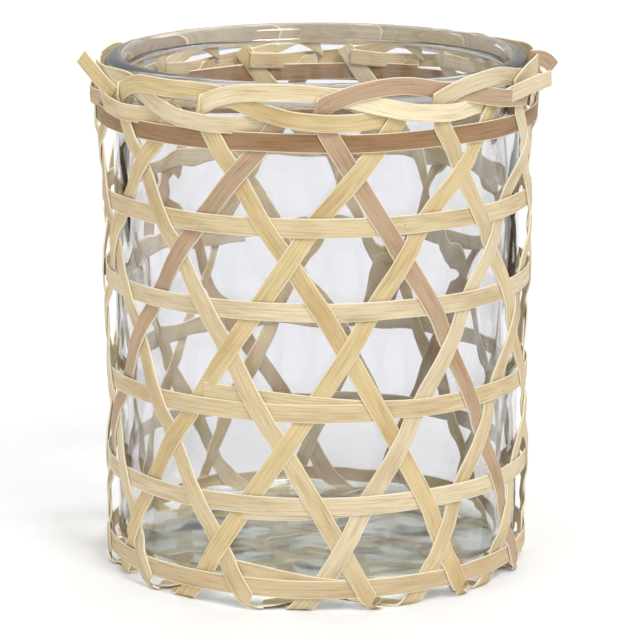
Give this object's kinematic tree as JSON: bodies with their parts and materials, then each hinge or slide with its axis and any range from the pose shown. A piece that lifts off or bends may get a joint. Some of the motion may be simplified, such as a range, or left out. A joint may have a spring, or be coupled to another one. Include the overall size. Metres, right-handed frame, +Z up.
{
  "type": "woven candle holder",
  "caption": "Round clear glass candle holder with a rolled lip, standing in an open hexagonal-weave bamboo sleeve with a plaited border. The glass lifts out.",
  "frame": {"origin": "centre of the underside, on the surface that the woven base stands on", "axes": "+Z up along the axis of the glass, -Y toward the front, +X to the right seen from the front"},
  "size_m": [0.1394, 0.1394, 0.1611],
  "materials": {
    "glass": "clear pressed glass, faint green where it is thick",
    "bamboo_straw": "split bamboo, pale straw, satin",
    "bamboo_tan": "split bamboo, light brown, satin",
    "bamboo_rose": "split bamboo, pinkish brown, satin"
  },
  "bodies": {
    "sleeve": {"hoop_1": "bamboo_tan", "hoop_2": "bamboo_straw", "hoop_3": "bamboo_straw", "hoop_4": "bamboo_straw", "hoop_5": "bamboo_straw", "hoop_6": "bamboo_tan", "strip_01": "bamboo_rose", "strip_02": "bamboo_straw", "strip_03": "bamboo_straw", "strip_04": "bamboo_rose", "strip_05": "bamboo_straw", "strip_06": "bamboo_straw", "strip_07": "bamboo_straw", "strip_08": "bamboo_tan", "strip_09": "bamboo_straw", "strip_10": "bamboo_straw", "strip_11": "bamboo_tan", "strip_12": "bamboo_straw"},
    "glass": {"glass_liner": "glass"}
  },
  "joints": [
    {"name": "glass_lift", "type": "slide", "parent": "sleeve", "child": "glass", "axis": [0, 0, 1], "range_m": [0, 0.17]}
  ]
}
